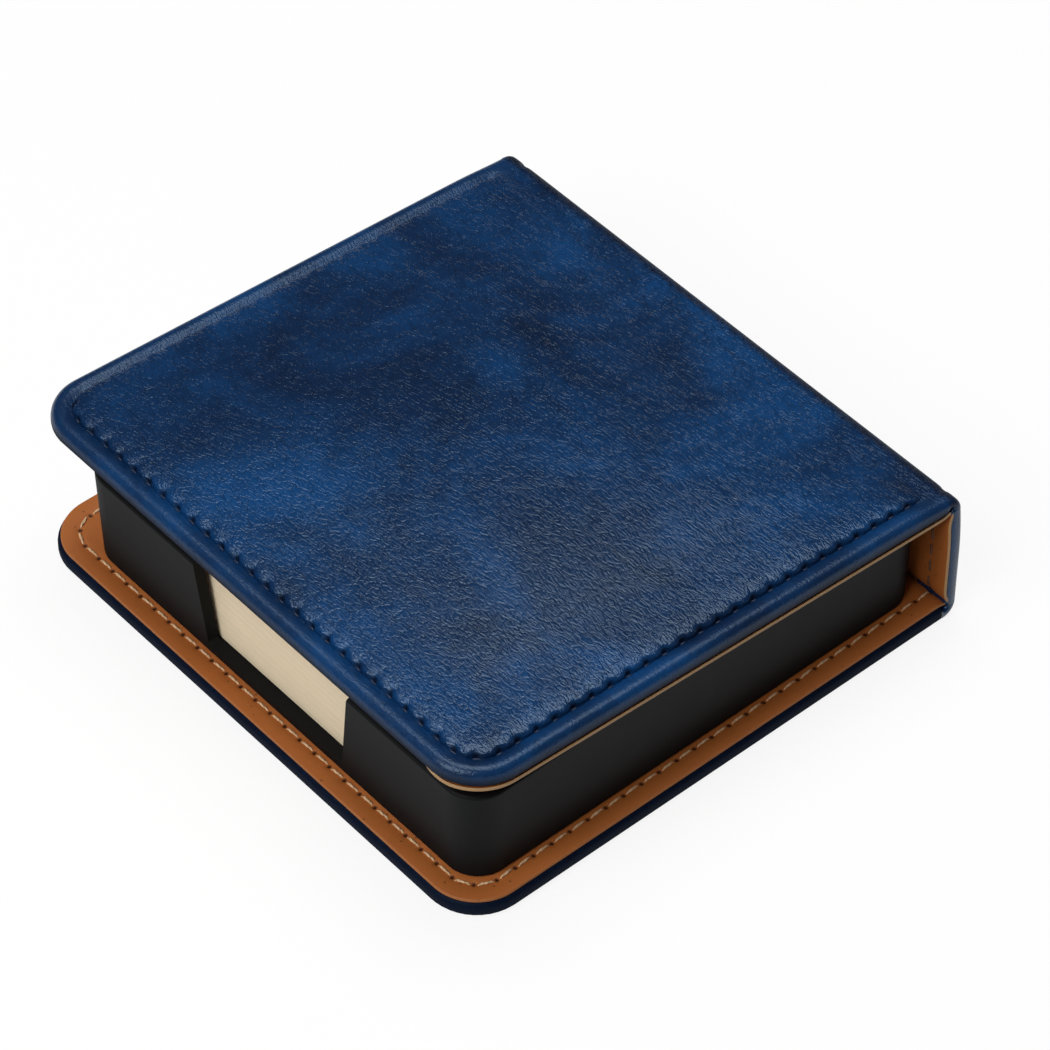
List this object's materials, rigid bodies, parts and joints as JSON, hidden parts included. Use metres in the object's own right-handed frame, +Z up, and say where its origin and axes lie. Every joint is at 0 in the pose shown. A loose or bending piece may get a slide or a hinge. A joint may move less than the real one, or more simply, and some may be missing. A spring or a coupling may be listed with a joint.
{
  "type": "memo holder",
  "caption": "Leather-covered memo box like a small book: stitched base, spine and padded lid on leather hinges, with a notched plastic tray for loose note sheets.",
  "frame": {"origin": "middle of the case's footprint, on the desk", "axes": "+Z up, +Y towards the spine, the tray's finger notch faces -Y, +X to the right seen from the front"},
  "size_m": [0.113, 0.106, 0.0349],
  "materials": {
    "blue_leather": "mottled, satin",
    "tan_lining": "smooth, matt",
    "tan_thread": "waxed",
    "blue_thread": "waxed",
    "board": "raw",
    "foam": "open-cell foam",
    "black_plastic": "satin",
    "tape": "matt",
    "paper": "matt"
  },
  "bodies": {
    "base": {"base_leather": "blue_leather", "base_board": "board", "base_lining": "tan_lining", "base_thread_inside": "tan_thread", "base_thread_outside": "blue_thread", "tray": "black_plastic", "tray_tape": "tape", "note_sheets": "paper"},
    "spine": {"spine_leather": "blue_leather", "spine_board": "board", "spine_lining": "tan_lining", "spine_thread_inside": "tan_thread", "spine_thread_outside": "blue_thread", "lower_hinge_leather": "blue_leather", "lower_hinge_lining": "tan_lining", "upper_hinge_leather": "blue_leather", "upper_hinge_lining": "tan_lining"},
    "lid": {"lid_leather": "blue_leather", "lid_foam": "foam", "lid_board": "board", "lid_lining": "tan_lining", "lid_thread_outside": "blue_thread", "lid_thread_inside": "tan_thread"}
  },
  "joints": [
    {"name": "spine_hinge", "type": "hinge", "parent": "base", "child": "spine", "pos_m": [0, 0.05199, 0.00102], "axis": [-1, 0, 0], "range_deg": [0, 83], "deforming": ["lower_hinge_leather", "lower_hinge_lining"]},
    {"name": "lid_hinge", "type": "hinge", "parent": "spine", "child": "lid", "pos_m": [0, 0.05199, 0.02678], "axis": [-1, 0, 0], "range_deg": [-3.1, 93.5], "deforming": ["upper_hinge_leather", "upper_hinge_lining"]}
  ]
}
